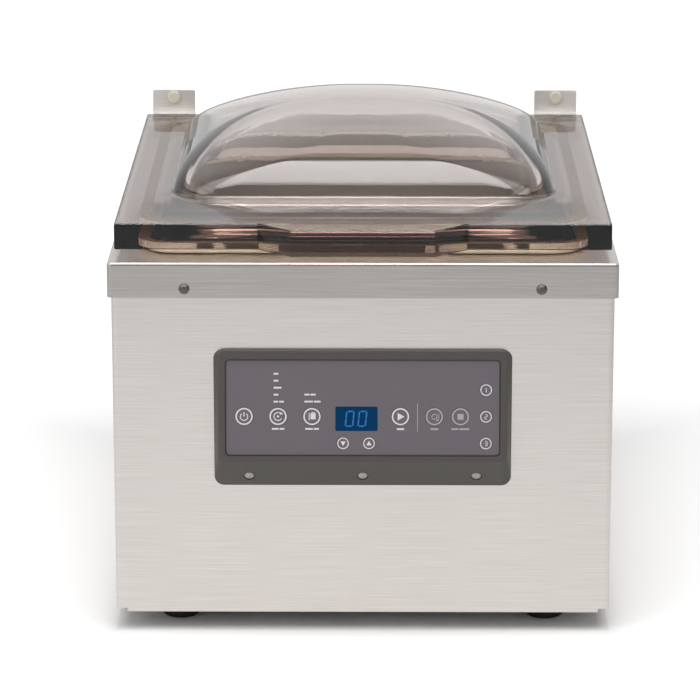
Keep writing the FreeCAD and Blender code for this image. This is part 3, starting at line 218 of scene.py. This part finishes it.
# Deep-drawn stainless is satin, with faint level marks round its walls from the die.
coat(finish("stainless_drawn", ("#C4C1BD", "#D2D0CC"), (0.30, 0.42), grain_mm=(16, 16, 2), metallic=1.0),
     "chamber_tub", "chamber_port_grille")


# Feet
# Four round feet of moulded black rubber, one under each corner, each held by one plated screw. The pump's
# mounts are of the same rubber.
# Moulded rubber is nearly black with a dull sheen. Its fine bloom is drawn at 1.1 mm to show.
coat(finish("rubber_moulded", ("#161616", "#222222"), (0.7, 0.85), grain_mm=1.1),
     "foot_front_left", "foot_front_right", "foot_rear_left", "foot_rear_right", "pump_mounts")


# Screws, pins and rods
# Turned and cold-headed steel, zinc plated. The screws in the deck and the back sheet are passivated darker, so
# that their heads stand out from the sheet.
# Zinc plate is a pale metal with slight clouds, a millimetre or so across.
coat(finish("zinc_plated_steel", ("#8C8A86", "#B9B7B2"), (0.25, 0.4), grain_mm=1.4, metallic=1.0),
     "foot_screws", "hinge_pins", "lift_rods", "console_screws")
# Dark passivation gives the same clouds on a smoky grey.
coat(finish("zinc_passivated_dark", ("#5A5754", "#7C7976"), (0.3, 0.45), grain_mm=1.4, metallic=1.0),
     "deck_screws", "rear_panel_screws")


# Lid
# A thick sheet of smoke-tinted acrylic, sawn to shape with a lift tab, polished on its edges and blown into a
# dome over the chamber. Sizes in metres, as in the solid; the mesh is only finer and smoother.
lid_low, lid_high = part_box("lid")
PLATE_TOP, PLATE_FRONT = 0.3005, -0.20475
TAB_ROOT, TAB_END, TAB_MITRE = 0.0745, 0.0505, 0.45
DOME_CENTRE = Vector((0, 0.00925))
DOME_ROUNDING, DOME_FULLNESS = 1.2, 0.97
OUTER_HALF, OUTER_CORNER, OUTER_RISE, OUTER_LEVELS = (0.139, 0.134), 0.030, 0.052, 40
INNER_HALF, INNER_CORNER, INNER_RISE, INNER_LEVELS = (0.128, 0.123), 0.024, 0.043, 36
MOUTH_FLARE, MOUTH_STEPS = 0.014, 12
DOME_FILLET, FILLET_STEPS = 0.0025, 6
EDGE_CHAMFER = 0.0008
GROOVE_CENTRE, GROOVE_DEPTH = Vector((0, -0.01275)), 0.0025
GROOVE_OUTER, GROOVE_INNER = (0.160, 0.177, 0.028), (0.152, 0.169, 0.020)
MESH_STEP, CORNER_STEPS = 0.005, 14


def rounded_outline(half_x, half_y, radius, centre, steps=24):
    """Points anticlockwise round a rectangle with round corners."""
    radius = min(radius, half_x, half_y)
    points = []
    for turn, (sx, sy) in enumerate(((1, -1), (1, 1), (-1, 1), (-1, -1))):
        middle = Vector((centre.x + sx * (half_x - radius), centre.y + sy * (half_y - radius)))
        for step in range(steps + 1):
            angle = (turn - 1 + step / steps) * math.pi / 2
            points.append(middle + radius * Vector((math.cos(angle), math.sin(angle))))
    return points


def bearing(point):
    """The angle of a point seen from the dome's centre."""
    return math.atan2(*(point - DOME_CENTRE).yx) % math.tau


def cast(outline, angles):
    """Where rays from the dome's centre meet an outline."""
    around = sorted((bearing(p), p) for p in outline)
    around = [(around[-1][0] - math.tau, around[-1][1])] + around + [(around[0][0] + math.tau, around[0][1])]
    hits, at = [], 0
    for angle in angles:
        while around[at + 1][0] < angle:
            at += 1
        p, q = around[at][1], around[at + 1][1]
        way = Vector((math.cos(angle), math.sin(angle)))
        normal = Vector((q - p).yx) * Vector((1, -1))
        span = way.dot(normal)
        along_ray = abs(span) < 1e-12
        hits.append(q.copy() if along_ray else DOME_CENTRE + way * ((p - DOME_CENTRE).dot(normal) / span))
    return hits


def dome_rings(half_x, half_y, corner, rise, levels):
    """Outlines of the dome from the plate up, as (outline, height)."""
    for step in range(levels):
        lift = step / levels * math.pi / 2
        spread, height = math.cos(lift), math.sin(lift)
        blend = height ** DOME_ROUNDING
        radius = corner * (1 - blend) + DOME_FULLNESS * min(half_x, half_y) * spread * blend
        yield rounded_outline(half_x * spread, half_y * spread, radius, DOME_CENTRE), PLATE_TOP + rise * height


def lid_outline(inset):
    """The plate's outline with its lift tab, drawn in by an inset."""
    half, front, tip, back = lid_high.x - inset, PLATE_FRONT + inset, lid_low.y + inset, lid_high.y - inset
    root, end = TAB_ROOT - inset * TAB_MITRE, TAB_END - inset * TAB_MITRE
    corners = [(end, tip), (root, front), (half, front), (half, back), (-half, back), (-half, front),
               (-root, front), (-end, tip)]
    return [Vector(c) for c in corners]


# The section runs from the crown down the outside, round the plate's edge and up inside the dome.
profile = []
for outline, height in list(dome_rings(*OUTER_HALF, OUTER_CORNER, OUTER_RISE, OUTER_LEVELS))[::-1]:
    if height > PLATE_TOP + DOME_FILLET:
        profile.append((outline, height))
for step in range(FILLET_STEPS + 1):
    angle = step / FILLET_STEPS * math.pi / 2
    out, height = DOME_FILLET * (1 - math.cos(angle)), PLATE_TOP + DOME_FILLET * (1 - math.sin(angle))
    profile.append((rounded_outline(*(h + out for h in OUTER_HALF), OUTER_CORNER + out, DOME_CENTRE), height))
profile += [
    (lid_outline(EDGE_CHAMFER), PLATE_TOP), (lid_outline(0), PLATE_TOP - EDGE_CHAMFER),
    (lid_outline(0), lid_low.z + EDGE_CHAMFER), (lid_outline(EDGE_CHAMFER), lid_low.z),
    (rounded_outline(*GROOVE_OUTER, GROOVE_CENTRE), lid_low.z),
    (rounded_outline(*GROOVE_OUTER, GROOVE_CENTRE), lid_low.z + GROOVE_DEPTH),
    (rounded_outline(*GROOVE_INNER, GROOVE_CENTRE), lid_low.z + GROOVE_DEPTH),
    (rounded_outline(*GROOVE_INNER, GROOVE_CENTRE), lid_low.z),
]
for step in range(MOUTH_STEPS + 1):
    angle = step / MOUTH_STEPS * math.pi / 2
    out, height = MOUTH_FLARE * (1 - math.sin(angle)), lid_low.z + MOUTH_FLARE * (1 - math.cos(angle))
    profile.append((rounded_outline(*(h + out for h in INNER_HALF), INNER_CORNER + out, DOME_CENTRE), height))
profile += dome_rings(*INNER_HALF, INNER_CORNER, INNER_RISE, INNER_LEVELS)

angles = {bearing(p) for p in lid_outline(0) + lid_outline(EDGE_CHAMFER)}
dome_foot = rounded_outline(*OUTER_HALF, OUTER_CORNER, DOME_CENTRE, CORNER_STEPS)
for p, q in zip(dome_foot, dome_foot[1:] + dome_foot[:1]):
    pieces = max(1, round((q - p).length / MESH_STEP))
    angles.update(bearing(p.lerp(q, step / pieces)) for step in range(pieces))
angles = sorted(angles)
angles = [a for a, b in zip(angles, angles[1:] + [angles[0] + math.tau]) if b - a > 1e-5]
verts, faces, count = [], [], len(angles)
for outline, height in profile:
    verts += [Vector((p.x, p.y, height)) for p in cast(outline, angles)]
for ring in range(len(profile) - 1):
    this, below = ring * count, (ring + 1) * count
    for step in range(count):
        after = (step + 1) % count
        faces.append((this + step, below + step, below + after, this + after))
top, bottom = len(verts), len(verts) + 1
verts += [Vector((*DOME_CENTRE, PLATE_TOP + OUTER_RISE)), Vector((*DOME_CENTRE, PLATE_TOP + INNER_RISE))]
last = (len(profile) - 1) * count
for step in range(count):
    after = (step + 1) % count
    faces.append((top, step, after))
    faces.append((bottom, last + after, last + step))
lid_body = new_object("lid_blown", verts, faces, smooth=True)

# Polished acrylic is clear with sharp reflections: thin paths look nearly clear and long paths, through the
# edges, look dark brown. Polishing leaves waves some 28 mm long. Lamps shine straight through it, tinted.
POLISH_WAVE_MM, POLISH_HAZE = 28.5, 0.03
acrylic = bpy.data.materials.new("acrylic_smoke_polished")
acrylic.use_nodes = True
tree = acrylic.node_tree
skin = tree.nodes["Principled BSDF"]
skin.inputs["Base Color"].default_value = linear("#FFFFFF")
skin.inputs["Transmission Weight"].default_value = 1.0
skin.inputs["IOR"].default_value = 1.49
tint = add(tree, "ShaderNodeVolumeAbsorption", values={"Color": linear("#A88674"), "Density": 29.0})
tree.links.new(tint.outputs[0], tree.nodes["Material Output"].inputs["Volume"])
where = add(tree, "ShaderNodeTexCoord")
waves = add(tree, "ShaderNodeTexNoise", values={"Scale": 1000 / POLISH_WAVE_MM, "Detail": 2.0},
            links={"Vector": (where, "Object")})
polish = add(tree, "ShaderNodeMapRange", values={"To Min": 0.0, "To Max": POLISH_HAZE},
             links={"Value": (waves, 0)})
tree.links.new(polish.outputs[0], skin.inputs["Roughness"])
light_ray = add(tree, "ShaderNodeLightPath")
shade = add(tree, "ShaderNodeBsdfTransparent", values={"Color": linear("#D4C8C0")})
body = add(tree, "ShaderNodeMixShader", links={0: (light_ray, "Is Shadow Ray"), 1: (skin, 0), 2: (shade, 0)})
tree.links.new(body.outputs[0], tree.nodes["Material Output"].inputs["Surface"])
lid_body.data.materials.append(acrylic)

# An oval softbox for the lid alone lays the pale highlight on the front of its dome.
overhead = softbox("softbox_over_lid", (0, -0.75, 1.35), (0, 0, 0), 1.1, 1.5, 18.0, "ELLIPSE")
lit = bpy.data.collections.new("lit_from_overhead")
lit.objects.link(lid_body)
overhead.light_linking.receiver_collection = lit
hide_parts("lid")
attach(lid_body, "lid_assembly")


# Gasket
# A moulded silicone cord, joined to a ring and pressed into the groove under the lid. It rests on the deck all
# round the chamber and keeps the air out.
# Silicone is waxy, cream-coloured and hardly shiny, with a slow drift in tone.
coat(finish("silicone_cream", ("#D9CDB4", "#E6DCC8"), (0.5, 0.62), grain_mm=3.3), "lid_gasket")


# Sealing pieces
# The lid carries a silicone strip in an extruded aluminium channel. Under it the seal bar stands on two lift
# rods, with flat resistance wires beneath a slip tape of coated glass cloth.
# The pad's silicone is whiter than the gasket's, and as waxy.
coat(finish("silicone_pad", ("#DAD6CC", "#E8E5DC"), (0.5, 0.6), grain_mm=3.3), "seal_pad_strip")
# Extruded aluminium is pale, with fine lines left along it by the die, drawn at 1.4 mm to show.
coat(finish("aluminium_extruded", ("#BEBEBF", "#D2D2D3"), (0.3, 0.42), grain_mm=(50, 1.4, 1.4), metallic=1.0),
     "seal_pad_channel", "seal_bar_block", "lift_cylinders", "pump_heads", "pump_crankcases", "valve_block")
# Drawn resistance wire has been hot, and so is a warm, slightly dull grey.
coat(finish("resistance_wire", ("#8A8378", "#A49C90"), (0.3, 0.45), grain_mm=3.3, metallic=1.0), "seal_wires")
# Coated glass cloth is tan and waxy, with a weave that is drawn at 0.8 mm, twice its thread spacing, to show.
coat(finish("slip_tape_cloth", ("#9A7650", "#B08A60"), (0.45, 0.6), grain_mm=0.8), "slip_tape")


# Hinges
# Folded stainless bases are fixed to the deck, and brackets with an upright stop plate and a nylon bumper to
# the lid. A torsion spring of drawn wire is wound round each pin.
# Folded stainless is brighter than the cabinet, with short level scuffs, drawn at 1.4 mm to show.
coat(finish("stainless_folded", ("#E4E0DC", "#FFFCF8"), (0.30, 0.44), grain_mm=(16, 16, 1.4),
            metallic=0.6, detail=3.0),
     "hinge_base_left", "hinge_base_right", "lid_bracket_left", "lid_bracket_right")
# Natural nylon is a milky ivory without much shine.
coat(finish("nylon_natural", ("#CFC8B6", "#DED8C8"), (0.5, 0.6), grain_mm=2.5), "stop_bumpers")
# Drawn spring wire is a darker, smooth grey.
coat(finish("spring_wire", ("#77777A", "#8E8E92"), (0.3, 0.4), grain_mm=2, metallic=1.0),
     "lid_spring_left", "lid_spring_right")


# Console
# A moulded sloping frame is screwed to the cabinet's front. A satin keypad plate is set into it, with round
# keys flush in the plate and a small display behind a blue pane.
# Moulded ABS is a warm dark grey with a spark-eroded texture, 0.02 mm deep and drawn at 0.7 mm to show.
coat(finish("console_moulded", ("#4A4643", "#55524E"), (0.42, 0.52), grain_mm=0.7, bump_mm=0.02),
     "console_frame")
# Satin polyester film is an even, faintly violet grey. Its matting is drawn at 1.1 mm to show.
coat(finish("keypad_film_satin", ("#686268", "#706A70"), (0.4, 0.48), grain_mm=1.1),
     "keypad_overlay", *[n for n in nodes if n.startswith("key_")])
# The tinted pane is deep blue, smooth and treated against glare.
coat(finish("display_pane_blue", ("#04345C", "#063C66"), (0.10, 0.14), grain_mm=5,
            Specular_IOR_Level=0.1), "display_window")
# The display's moulded housing is nearly black, with a blue cast.
coat(finish("display_housing", ("#0A1030", "#101840"), (0.4, 0.5), grain_mm=3.3), "display_module")
# Solder lacquer on the board is a shiny dark green.
coat(finish("circuit_board_lacquer", ("#0F4A2A", "#1A5C38"), (0.3, 0.4), grain_mm=2), "control_board")


# Keypad ink and painted shade
# Rings and symbols are screen-printed white on the key caps, greyer on the keys right of the dividing line.
# Short broken bars mark the settings, and the display shows two lit digits. A dark line round the
# plate's edge is painted shade. Sizes are millimetres on the face.
FACE_MIDDLE = Vector((0, -0.22025, 0.1715))
FACE_LEAN = math.atan2(11, 79)
PLATE_LEVEL, KEY_LEVEL, INK = -1.2, -1.0, 0.06


def on_console(across, up, out):
    """A point on the console's face, from millimetres across, up the slope and out of it."""
    slope = Vector((0, math.sin(FACE_LEAN), math.cos(FACE_LEAN)))
    away = Vector((0, -math.cos(FACE_LEAN), math.sin(FACE_LEAN)))
    return FACE_MIDDLE + (Vector((across, 0, 0)) + slope * up + away * out) / 1000


def bar(across, up, width, height):
    """A printed bar, centred on a point."""
    a, b = width / 2, height / 2
    return [[(across - a, up - b), (across + a, up - b), (across + a, up + b), (across - a, up + b)]]


def band(across, up, inner, outer, start=0, end=360):
    """A printed ring or part of one, anticlockwise from the right in degrees."""
    steps = max(2, round((end - start) / 9))
    turns = [math.radians(start + (end - start) * step / steps) for step in range(steps + 1)]
    rim = [[(across + r * math.cos(t), up + r * math.sin(t)) for t in turns] for r in (inner, outer)]
    return [[rim[0][i], rim[1][i], rim[1][i + 1], rim[0][i + 1]] for i in range(steps)]


def wedge(across, up, size, turn):
    """A printed triangle pointing along a turn in degrees."""
    ways = [math.radians(turn + third) for third in (0, 120, 240)]
    return [[(across + size * math.cos(w), up + size * math.sin(w)) for w in ways]]


def digit(figure, across, up, width, height, stroke, slant=0.0):
    """A figure of seven strokes, as on a display."""
    a, b, gap = width / 2, height / 2, stroke * 0.2
    level, upright = width - stroke - gap * 2, b - gap * 2
    strokes = {
        "a": (0, b, level, stroke), "g": (0, 0, level, stroke), "d": (0, -b, level, stroke),
        "b": (a, b / 2, stroke, upright), "c": (a, -b / 2, stroke, upright),
        "f": (-a, b / 2, stroke, upright), "e": (-a, -b / 2, stroke, upright),
    }
    shown = {"0": "abcdef", "1": "bc", "2": "abged", "3": "abgcd"}[figure]
    shapes = [bar(*strokes[name])[0] for name in shown]
    return [[(across + x + y * slant, up + y) for x, y in shape] for shape in shapes]


def marks(across, up, lengths, height=1.25, gap=0.7):
    """Broken bars in a row from the left, that mark one setting."""
    shapes = []
    for length in lengths:
        shapes += bar(across + length / 2, up, length, height)
        across += length + gap
    return shapes


def ink(name, shapes, level, body, material):
    """One printed piece, or a piece of painted shade, a hair above the surface that it lies on."""
    verts = [on_console(x, y, level + INK) for shape in shapes for x, y in shape]
    faces, first = [], 0
    for shape in shapes:
        faces.append(tuple(range(first, first + len(shape))))
        first += len(shape)
    made = new_object(name, verts, faces)
    made.data.materials.append(material)
    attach(made, body)


# Screen ink is flat, opaque and a little matt, in white and grey. The dark tone of the same finish is painted
# shade, for the line round the plate's edge. Its speckle is drawn at 1.1 mm to show.
white_ink = finish("screen_ink_white", ("#DEDBDC", "#E9E7E8"), (0.45, 0.55), grain_mm=1.1)
grey_ink = finish("screen_ink_grey", ("#AAA6AA", "#B6B2B6"), (0.45, 0.55), grain_mm=1.1)
edge_shade_paint = finish("painted_edge_shade", ("#3E3A3E", "#464246"), (0.45, 0.55), grain_mm=1.1)
# The lit strokes of the display are a brighter blue than the pane, with a slight glow.
lit_blue = finish("display_digit_lit", ("#1C64AC", "#226EB8"), (0.3, 0.4), grain_mm=1.1,
                  Emission_Color=linear("#2F86CE"), Emission_Strength=0.1)

# Each key has its place, its ring, its ink and a symbol drawn about its own middle.
ROW, LOW_ROW, HIGH_ROW, RIGHT_COLUMN = -7.8, -27.0, 11.4, 87.5
LARGE_RING, SMALL_RING = (5.1, 6.15), (3.4, 4.15)
FIGURE = (1.7, 3.2, 0.55)
key_prints = {
    "key_power": (-84.2, ROW, LARGE_RING, white_ink,
                  band(0, -0.2, 2.3, 2.95, 125, 415) + bar(0, 1.5, 0.7, 3.2)),
    "key_vacuum": (-60.1, ROW, LARGE_RING, white_ink,
                   band(0, 0, 2.5, 3.2, 60, 330) + wedge(2.2, 2.1, 1.3, 340) + band(0, 0, 0.0, 0.8)),
    "key_function": (-36.0, ROW, LARGE_RING, white_ink,
                     bar(-2.0, 0, 0.6, 5.0) + bar(0.8, 0.2, 3.6, 4.4) + bar(0.8, 2.9, 2.4, 0.5)),
    "key_down": (-13.9, LOW_ROW, SMALL_RING, white_ink, wedge(0, 0.3, 2.2, 270)),
    "key_up": (4.5, LOW_ROW, SMALL_RING, white_ink, wedge(0, -0.3, 2.2, 90)),
    "key_start": (26.8, ROW, LARGE_RING, white_ink, wedge(-0.4, 0, 3.2, 0)),
    "key_seal": (50.9, ROW, LARGE_RING, grey_ink,
                 band(0, 0, 1.5, 2.1) + band(0, 0, 2.9, 3.5, 290, 400) + bar(2.5, -2.6, 1.2, 0.6)),
    "key_stop": (69.4, ROW, LARGE_RING, grey_ink, bar(0, 0, 4.2, 4.2)),
    "key_program_1": (RIGHT_COLUMN, HIGH_ROW, SMALL_RING, white_ink, digit("1", -0.8, 0, *FIGURE)),
    "key_program_2": (RIGHT_COLUMN, ROW, SMALL_RING, white_ink, digit("2", 0, 0, *FIGURE)),
    "key_program_3": (RIGHT_COLUMN, LOW_ROW, SMALL_RING, white_ink, digit("3", 0, 0, *FIGURE)),
}
for name, (across, up, ring, colour, symbol) in key_prints.items():
    shapes = [[(across + x, up + y) for x, y in shape] for shape in band(0, 0, *ring) + symbol]
    ink(f"{name}_print", shapes, KEY_LEVEL, f"{name}_button", colour)

# Settings stand in two columns over their keys, and one more under every large key but the first.
UNDER_KEYS = ROW - 8.9
LIST_LEFT, LIST_TOP, LIST_STEP = -63.2, 22.8, 5
white_marks = []
for step, lengths in enumerate(((3.4,), (3.4,), (5.6,), (3.4,), (3.2, 3.4))):
    white_marks += marks(LIST_LEFT, LIST_TOP - LIST_STEP * step, lengths)
white_marks += marks(-41.4, 7.9, (3.6, 3.8)) + marks(-41.4, 2.9, (6.2, 4.6))
white_marks += marks(-64.5, UNDER_KEYS, (4.8, 3.4)) + marks(-40.8, UNDER_KEYS, (5.4, 3.6))
white_marks += marks(24.2, UNDER_KEYS, (5.2,))
ink("keypad_words_white", white_marks, PLATE_LEVEL, "cabinet", white_ink)
dividing_line = bar(38.9, -8.4, 0.5, 20)
grey_marks = marks(48.2, UNDER_KEYS, (5.4,)) + marks(63.0, UNDER_KEYS, (5.0, 7.0))
ink("keypad_words_grey", grey_marks + dividing_line, PLATE_LEVEL, "cabinet", grey_ink)

# A dark line round the plate's edge is painted shade, where the plate is set into the frame.
PLATE_HALF, PLATE_CORNER, PLATE_MIDDLE, EDGE_SHADE_WIDTH = (97.5, 34.5), 3, Vector((0, -1.5)), 0.7
rims = [rounded_outline(*(h - inset for h in PLATE_HALF), PLATE_CORNER - inset, PLATE_MIDDLE, 6)
        for inset in (0, EDGE_SHADE_WIDTH)]
edge_shade = [[rims[0][i - 1], rims[0][i], rims[1][i], rims[1][i - 1]] for i in range(len(rims[0]))]
ink("keypad_painted_edge_shade", edge_shade, PLATE_LEVEL, "cabinet", edge_shade_paint)

DISPLAY_UP, DISPLAY_FIGURE = -9.4, (5.2, 10.6, 1.1, 0.1)
display_figures = digit("0", -9.2, DISPLAY_UP, *DISPLAY_FIGURE) + digit("0", -0.2, DISPLAY_UP, *DISPLAY_FIGURE)
ink("display_digits", display_figures, PLATE_LEVEL, "cabinet", lit_blue)


# Inside and back
# Pump motor, fan, transformer, valves and hose are bought-in pieces, mounted under and behind the tub. The
# moulded mains inlet with its plated pins is set into the back sheet.
# Motor enamel is a sprayed blue-black with a half gloss.
coat(finish("motor_enamel", ("#3A3F44", "#474D52"), (0.4, 0.5), grain_mm=3.3, metallic=0.3), "pump_motor")
# The fan's glass-filled nylon is moulded black and slightly dull.
coat(finish("fan_moulded", ("#1B1B1C", "#252526"), (0.45, 0.55), grain_mm=2), "fan_frame", "fan_rotor")
# Varnished laminations are dark, with fine upright lines from sheets of 0.5 mm, drawn at 0.7 mm to show.
coat(finish("core_varnished", ("#3E3E40", "#55555A"), (0.4, 0.55), grain_mm=(0.7, 33, 33), metallic=0.7),
     "transformer_core")
# Polyester tape round the winding is amber and glossy, in level laps.
coat(finish("winding_tape", ("#B98A22", "#CC9C30"), (0.4, 0.5), grain_mm=(16, 16, 2.5)), "transformer_coil")
# Cast resin on the valve coils is black and shiny.
coat(finish("coil_resin", ("#1C1C1E", "#29292C"), (0.3, 0.4), grain_mm=3.3), "valve_coils")
# The hose's extruded rubber is black and dull.
coat(finish("hose_rubber", ("#242424", "#333333"), (0.6, 0.7), grain_mm=3.3), "vacuum_hose")
# The inlet's moulded nylon is black with a low sheen.
coat(finish("inlet_moulded", ("#151515", "#1E1E1E"), (0.4, 0.5), grain_mm=1.7), "power_inlet")
# Plated brass pins are a bright, pale yellow.
coat(finish("pin_plated", ("#B9A878", "#CDBE92"), (0.25, 0.35), grain_mm=3.3, metallic=1.0), "inlet_pins")
